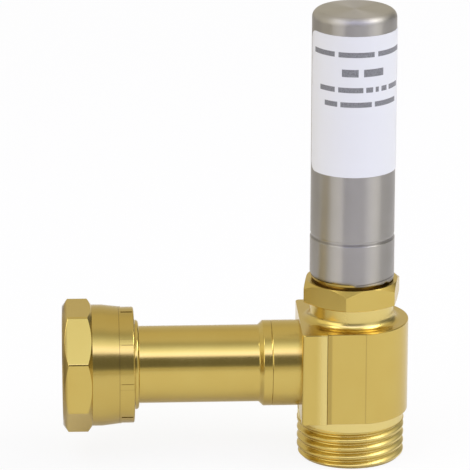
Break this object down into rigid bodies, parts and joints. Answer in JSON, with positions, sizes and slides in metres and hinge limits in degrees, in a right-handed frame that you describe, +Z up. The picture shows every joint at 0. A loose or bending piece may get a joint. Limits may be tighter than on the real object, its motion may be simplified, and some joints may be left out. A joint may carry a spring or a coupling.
{
  "type": "water hammer arrestor",
  "caption": "Brass tee with a swivel hose nut on its arm, a male hose thread below and a steel cartridge above, whose piston takes up pressure shocks in a water line.",
  "frame": {"origin": "centre of the outlet thread's end face", "axes": "+Z up the cartridge's axis, -X out along the arm to the swivel nut, +Y to the back"},
  "size_m": [0.0867, 0.0318, 0.1156],
  "materials": {
    "brass": "turned and polished",
    "steel": "satin",
    "rubber": "matt",
    "piston_plastic": "moulded",
    "label_film": "matt film"
  },
  "bodies": {
    "tee": {"tee_body": "brass", "inlet_tailpiece": "brass", "hose_washer": "rubber", "cartridge_base": "brass", "neck_o_ring": "rubber", "pressure_can": "steel", "can_o_ring": "rubber", "label": "label_film"},
    "nut": {"swivel_nut": "brass"},
    "piston": {"piston": "piston_plastic", "piston_o_ring_lower": "rubber", "piston_o_ring_upper": "rubber"}
  },
  "joints": [
    {"name": "nut_swivel", "type": "hinge", "parent": "tee", "child": "nut", "pos_m": [-0.056, 0, 0.0241], "axis": [-1, 0, 0], "continuous": true},
    {"name": "piston_slide", "type": "slide", "parent": "tee", "child": "piston", "axis": [0, 0, 1], "range_m": [0, 0.032]}
  ]
}
